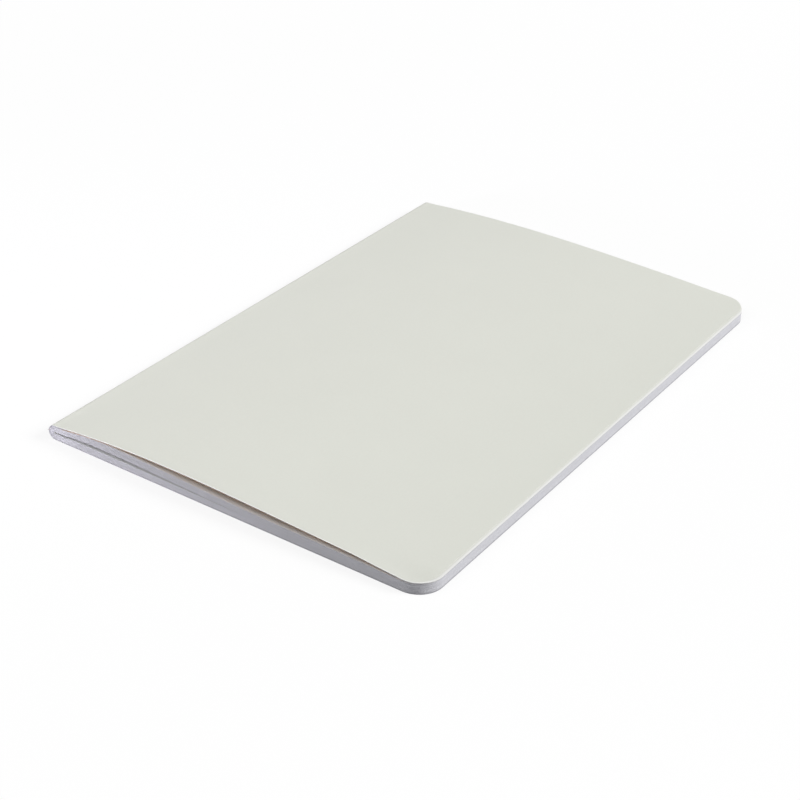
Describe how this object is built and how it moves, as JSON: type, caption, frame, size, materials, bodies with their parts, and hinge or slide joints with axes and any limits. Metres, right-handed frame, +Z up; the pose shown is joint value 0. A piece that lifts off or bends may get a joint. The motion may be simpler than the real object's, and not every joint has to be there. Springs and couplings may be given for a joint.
{
  "type": "sewn notepad",
  "caption": "Soft card notepad of folded sheets sewn through the fold, with rounded fore-edge corners, that opens at its sewn centre.",
  "frame": {"origin": "on the ground under the middle of the closed pad lying on its back cover, the outer thread included", "axes": "+X from the spine to the fore-edge, +Y along the spine, +Z up through the pad"},
  "size_m": [0.1404, 0.21, 0.0076],
  "materials": {
    "cover_card": "matt uncoated card",
    "page_paper": "matt white writing paper",
    "sewing_thread": "matt twisted thread"
  },
  "bodies": {
    "back_cover": {"back_cover": "cover_card"},
    "spine": {"cover_spine": "cover_card", "outer_thread": "sewing_thread", "inner_thread": "sewing_thread", "sheet_01_fold": "page_paper", "sheet_02_fold": "page_paper", "sheet_03_fold": "page_paper", "sheet_04_fold": "page_paper", "sheet_05_fold": "page_paper", "sheet_06_fold": "page_paper", "sheet_07_fold": "page_paper", "sheet_08_fold": "page_paper", "sheet_09_fold": "page_paper", "sheet_10_fold": "page_paper", "sheet_11_fold": "page_paper", "sheet_12_fold": "page_paper", "sheet_13_fold": "page_paper", "sheet_14_fold": "page_paper", "sheet_15_fold": "page_paper", "sheet_16_fold": "page_paper"},
    "front_cover": {"front_cover": "cover_card"},
    "sheet_01_front": {"sheet_01_front_leaf": "page_paper"},
    "sheet_01_back": {"sheet_01_back_leaf": "page_paper"},
    "sheet_02_front": {"sheet_02_front_leaf": "page_paper"},
    "sheet_02_back": {"sheet_02_back_leaf": "page_paper"},
    "sheet_03_front": {"sheet_03_front_leaf": "page_paper"},
    "sheet_03_back": {"sheet_03_back_leaf": "page_paper"},
    "sheet_04_front": {"sheet_04_front_leaf": "page_paper"},
    "sheet_04_back": {"sheet_04_back_leaf": "page_paper"},
    "sheet_05_front": {"sheet_05_front_leaf": "page_paper"},
    "sheet_05_back": {"sheet_05_back_leaf": "page_paper"},
    "sheet_06_front": {"sheet_06_front_leaf": "page_paper"},
    "sheet_06_back": {"sheet_06_back_leaf": "page_paper"},
    "sheet_07_front": {"sheet_07_front_leaf": "page_paper"},
    "sheet_07_back": {"sheet_07_back_leaf": "page_paper"},
    "sheet_08_front": {"sheet_08_front_leaf": "page_paper"},
    "sheet_08_back": {"sheet_08_back_leaf": "page_paper"},
    "sheet_09_front": {"sheet_09_front_leaf": "page_paper"},
    "sheet_09_back": {"sheet_09_back_leaf": "page_paper"},
    "sheet_10_front": {"sheet_10_front_leaf": "page_paper"},
    "sheet_10_back": {"sheet_10_back_leaf": "page_paper"},
    "sheet_11_front": {"sheet_11_front_leaf": "page_paper"},
    "sheet_11_back": {"sheet_11_back_leaf": "page_paper"},
    "sheet_12_front": {"sheet_12_front_leaf": "page_paper"},
    "sheet_12_back": {"sheet_12_back_leaf": "page_paper"},
    "sheet_13_front": {"sheet_13_front_leaf": "page_paper"},
    "sheet_13_back": {"sheet_13_back_leaf": "page_paper"},
    "sheet_14_front": {"sheet_14_front_leaf": "page_paper"},
    "sheet_14_back": {"sheet_14_back_leaf": "page_paper"},
    "sheet_15_front": {"sheet_15_front_leaf": "page_paper"},
    "sheet_15_back": {"sheet_15_back_leaf": "page_paper"},
    "sheet_16_front": {"sheet_16_front_leaf": "page_paper"},
    "sheet_16_back": {"sheet_16_back_leaf": "page_paper"}
  },
  "joints": [
    {"name": "pad_open", "type": "hinge", "parent": "back_cover", "child": "spine", "pos_m": [-0.06724, 0, 0.00252], "axis": [0, -1, 0], "range_deg": [0, 85]},
    {"name": "front_cover_turn", "type": "hinge", "parent": "spine", "child": "front_cover", "pos_m": [-0.06724, 0, 0.00252], "axis": [0, -1, 0], "range_deg": [0, 85]},
    {"name": "sheet_01_front_turn", "type": "hinge", "parent": "spine", "child": "sheet_01_front", "pos_m": [-0.06724, 0, 0.00252], "axis": [0, -1, 0], "range_deg": [0, 85]},
    {"name": "sheet_01_back_turn", "type": "hinge", "parent": "spine", "child": "sheet_01_back", "pos_m": [-0.06724, 0, 0.00252], "axis": [0, 1, 0], "range_deg": [0, 85]},
    {"name": "sheet_02_front_turn", "type": "hinge", "parent": "spine", "child": "sheet_02_front", "pos_m": [-0.06724, 0, 0.00252], "axis": [0, -1, 0], "range_deg": [0, 85]},
    {"name": "sheet_02_back_turn", "type": "hinge", "parent": "spine", "child": "sheet_02_back", "pos_m": [-0.06724, 0, 0.00252], "axis": [0, 1, 0], "range_deg": [0, 85]},
    {"name": "sheet_03_front_turn", "type": "hinge", "parent": "spine", "child": "sheet_03_front", "pos_m": [-0.06724, 0, 0.00252], "axis": [0, -1, 0], "range_deg": [0, 85]},
    {"name": "sheet_03_back_turn", "type": "hinge", "parent": "spine", "child": "sheet_03_back", "pos_m": [-0.06724, 0, 0.00252], "axis": [0, 1, 0], "range_deg": [0, 85]},
    {"name": "sheet_04_front_turn", "type": "hinge", "parent": "spine", "child": "sheet_04_front", "pos_m": [-0.06724, 0, 0.00252], "axis": [0, -1, 0], "range_deg": [0, 85]},
    {"name": "sheet_04_back_turn", "type": "hinge", "parent": "spine", "child": "sheet_04_back", "pos_m": [-0.06724, 0, 0.00252], "axis": [0, 1, 0], "range_deg": [0, 85]},
    {"name": "sheet_05_front_turn", "type": "hinge", "parent": "spine", "child": "sheet_05_front", "pos_m": [-0.06724, 0, 0.00252], "axis": [0, -1, 0], "range_deg": [0, 85]},
    {"name": "sheet_05_back_turn", "type": "hinge", "parent": "spine", "child": "sheet_05_back", "pos_m": [-0.06724, 0, 0.00252], "axis": [0, 1, 0], "range_deg": [0, 85]},
    {"name": "sheet_06_front_turn", "type": "hinge", "parent": "spine", "child": "sheet_06_front", "pos_m": [-0.06724, 0, 0.00252], "axis": [0, -1, 0], "range_deg": [0, 85]},
    {"name": "sheet_06_back_turn", "type": "hinge", "parent": "spine", "child": "sheet_06_back", "pos_m": [-0.06724, 0, 0.00252], "axis": [0, 1, 0], "range_deg": [0, 85]},
    {"name": "sheet_07_front_turn", "type": "hinge", "parent": "spine", "child": "sheet_07_front", "pos_m": [-0.06724, 0, 0.00252], "axis": [0, -1, 0], "range_deg": [0, 85]},
    {"name": "sheet_07_back_turn", "type": "hinge", "parent": "spine", "child": "sheet_07_back", "pos_m": [-0.06724, 0, 0.00252], "axis": [0, 1, 0], "range_deg": [0, 85]},
    {"name": "sheet_08_front_turn", "type": "hinge", "parent": "spine", "child": "sheet_08_front", "pos_m": [-0.06724, 0, 0.00252], "axis": [0, -1, 0], "range_deg": [0, 85]},
    {"name": "sheet_08_back_turn", "type": "hinge", "parent": "spine", "child": "sheet_08_back", "pos_m": [-0.06724, 0, 0.00252], "axis": [0, 1, 0], "range_deg": [0, 85]},
    {"name": "sheet_09_front_turn", "type": "hinge", "parent": "spine", "child": "sheet_09_front", "pos_m": [-0.06724, 0, 0.00252], "axis": [0, -1, 0], "range_deg": [0, 85]},
    {"name": "sheet_09_back_turn", "type": "hinge", "parent": "spine", "child": "sheet_09_back", "pos_m": [-0.06724, 0, 0.00252], "axis": [0, 1, 0], "range_deg": [0, 85]},
    {"name": "sheet_10_front_turn", "type": "hinge", "parent": "spine", "child": "sheet_10_front", "pos_m": [-0.06724, 0, 0.00252], "axis": [0, -1, 0], "range_deg": [0, 85]},
    {"name": "sheet_10_back_turn", "type": "hinge", "parent": "spine", "child": "sheet_10_back", "pos_m": [-0.06724, 0, 0.00252], "axis": [0, 1, 0], "range_deg": [0, 85]},
    {"name": "sheet_11_front_turn", "type": "hinge", "parent": "spine", "child": "sheet_11_front", "pos_m": [-0.06724, 0, 0.00252], "axis": [0, -1, 0], "range_deg": [0, 85]},
    {"name": "sheet_11_back_turn", "type": "hinge", "parent": "spine", "child": "sheet_11_back", "pos_m": [-0.06724, 0, 0.00252], "axis": [0, 1, 0], "range_deg": [0, 85]},
    {"name": "sheet_12_front_turn", "type": "hinge", "parent": "spine", "child": "sheet_12_front", "pos_m": [-0.06724, 0, 0.00252], "axis": [0, -1, 0], "range_deg": [0, 85]},
    {"name": "sheet_12_back_turn", "type": "hinge", "parent": "spine", "child": "sheet_12_back", "pos_m": [-0.06724, 0, 0.00252], "axis": [0, 1, 0], "range_deg": [0, 85]},
    {"name": "sheet_13_front_turn", "type": "hinge", "parent": "spine", "child": "sheet_13_front", "pos_m": [-0.06724, 0, 0.00252], "axis": [0, -1, 0], "range_deg": [0, 85]},
    {"name": "sheet_13_back_turn", "type": "hinge", "parent": "spine", "child": "sheet_13_back", "pos_m": [-0.06724, 0, 0.00252], "axis": [0, 1, 0], "range_deg": [0, 85]},
    {"name": "sheet_14_front_turn", "type": "hinge", "parent": "spine", "child": "sheet_14_front", "pos_m": [-0.06724, 0, 0.00252], "axis": [0, -1, 0], "range_deg": [0, 85]},
    {"name": "sheet_14_back_turn", "type": "hinge", "parent": "spine", "child": "sheet_14_back", "pos_m": [-0.06724, 0, 0.00252], "axis": [0, 1, 0], "range_deg": [0, 85]},
    {"name": "sheet_15_front_turn", "type": "hinge", "parent": "spine", "child": "sheet_15_front", "pos_m": [-0.06724, 0, 0.00252], "axis": [0, -1, 0], "range_deg": [0, 85]},
    {"name": "sheet_15_back_turn", "type": "hinge", "parent": "spine", "child": "sheet_15_back", "pos_m": [-0.06724, 0, 0.00252], "axis": [0, 1, 0], "range_deg": [0, 85]},
    {"name": "sheet_16_front_turn", "type": "hinge", "parent": "spine", "child": "sheet_16_front", "pos_m": [-0.06724, 0, 0.00252], "axis": [0, -1, 0], "range_deg": [0, 85]},
    {"name": "sheet_16_back_turn", "type": "hinge", "parent": "spine", "child": "sheet_16_back", "pos_m": [-0.06724, 0, 0.00252], "axis": [0, 1, 0], "range_deg": [0, 85]}
  ],
  "couplings": [
    {"joint": "front_cover_turn", "follows": "pad_open", "ratio": 1},
    {"joint": "sheet_01_front_turn", "follows": "pad_open", "ratio": 0.886},
    {"joint": "sheet_01_back_turn", "follows": "pad_open", "ratio": 0.886},
    {"joint": "sheet_02_front_turn", "follows": "pad_open", "ratio": 0.8928},
    {"joint": "sheet_02_back_turn", "follows": "pad_open", "ratio": 0.8928},
    {"joint": "sheet_03_front_turn", "follows": "pad_open", "ratio": 0.8996},
    {"joint": "sheet_03_back_turn", "follows": "pad_open", "ratio": 0.8996},
    {"joint": "sheet_04_front_turn", "follows": "pad_open", "ratio": 0.9064},
    {"joint": "sheet_04_back_turn", "follows": "pad_open", "ratio": 0.9064},
    {"joint": "sheet_05_front_turn", "follows": "pad_open", "ratio": 0.9132},
    {"joint": "sheet_05_back_turn", "follows": "pad_open", "ratio": 0.9132},
    {"joint": "sheet_06_front_turn", "follows": "pad_open", "ratio": 0.92},
    {"joint": "sheet_06_back_turn", "follows": "pad_open", "ratio": 0.92},
    {"joint": "sheet_07_front_turn", "follows": "pad_open", "ratio": 0.9268},
    {"joint": "sheet_07_back_turn", "follows": "pad_open", "ratio": 0.9268},
    {"joint": "sheet_08_front_turn", "follows": "pad_open", "ratio": 0.9336},
    {"joint": "sheet_08_back_turn", "follows": "pad_open", "ratio": 0.9336},
    {"joint": "sheet_09_front_turn", "follows": "pad_open", "ratio": 0.9404},
    {"joint": "sheet_09_back_turn", "follows": "pad_open", "ratio": 0.9404},
    {"joint": "sheet_10_front_turn", "follows": "pad_open", "ratio": 0.9472},
    {"joint": "sheet_10_back_turn", "follows": "pad_open", "ratio": 0.9472},
    {"joint": "sheet_11_front_turn", "follows": "pad_open", "ratio": 0.954},
    {"joint": "sheet_11_back_turn", "follows": "pad_open", "ratio": 0.954},
    {"joint": "sheet_12_front_turn", "follows": "pad_open", "ratio": 0.9608},
    {"joint": "sheet_12_back_turn", "follows": "pad_open", "ratio": 0.9608},
    {"joint": "sheet_13_front_turn", "follows": "pad_open", "ratio": 0.9676},
    {"joint": "sheet_13_back_turn", "follows": "pad_open", "ratio": 0.9676},
    {"joint": "sheet_14_front_turn", "follows": "pad_open", "ratio": 0.9744},
    {"joint": "sheet_14_back_turn", "follows": "pad_open", "ratio": 0.9744},
    {"joint": "sheet_15_front_turn", "follows": "pad_open", "ratio": 0.9812},
    {"joint": "sheet_15_back_turn", "follows": "pad_open", "ratio": 0.9812},
    {"joint": "sheet_16_front_turn", "follows": "pad_open", "ratio": 0.988},
    {"joint": "sheet_16_back_turn", "follows": "pad_open", "ratio": 0.988}
  ]
}
